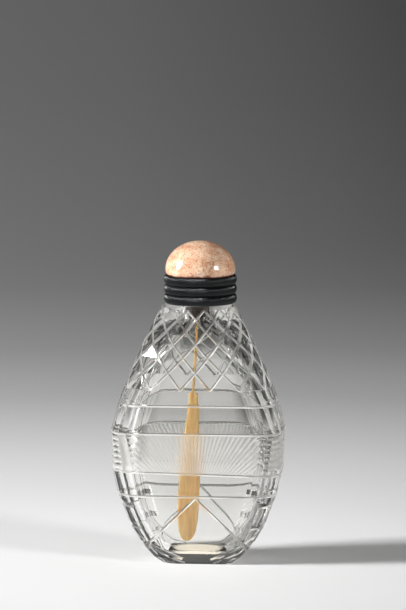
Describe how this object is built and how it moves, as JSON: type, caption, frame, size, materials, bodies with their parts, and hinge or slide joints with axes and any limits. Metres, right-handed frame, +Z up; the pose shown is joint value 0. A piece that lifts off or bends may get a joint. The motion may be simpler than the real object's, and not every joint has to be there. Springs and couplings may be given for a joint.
{
  "type": "snuff bottle",
  "caption": "Flattened hollow bottle of clear cut glass with a diamond lattice and a sunburst band, closed by a stone-topped stopper that carries a spoon.",
  "frame": {"origin": "middle of the flat foot, on the surface the bottle stands on", "axes": "+Z up through the stopper, +X along the broad width, the broad front facing -Y"},
  "size_m": [0.0402, 0.021, 0.0753],
  "materials": {
    "cut_glass": "clear, polished and cut",
    "cork": "dark brown, rough",
    "amber_horn": "amber horn, satin",
    "black_collar": "black, ridged, with a soft sheen",
    "pink_stone": "pink speckled stone, polished"
  },
  "bodies": {
    "root": {"bottle": "cut_glass", "cork": "cork", "spoon": "amber_horn", "collar": "black_collar", "stopper_stone": "pink_stone"}
  },
  "joints": []
}
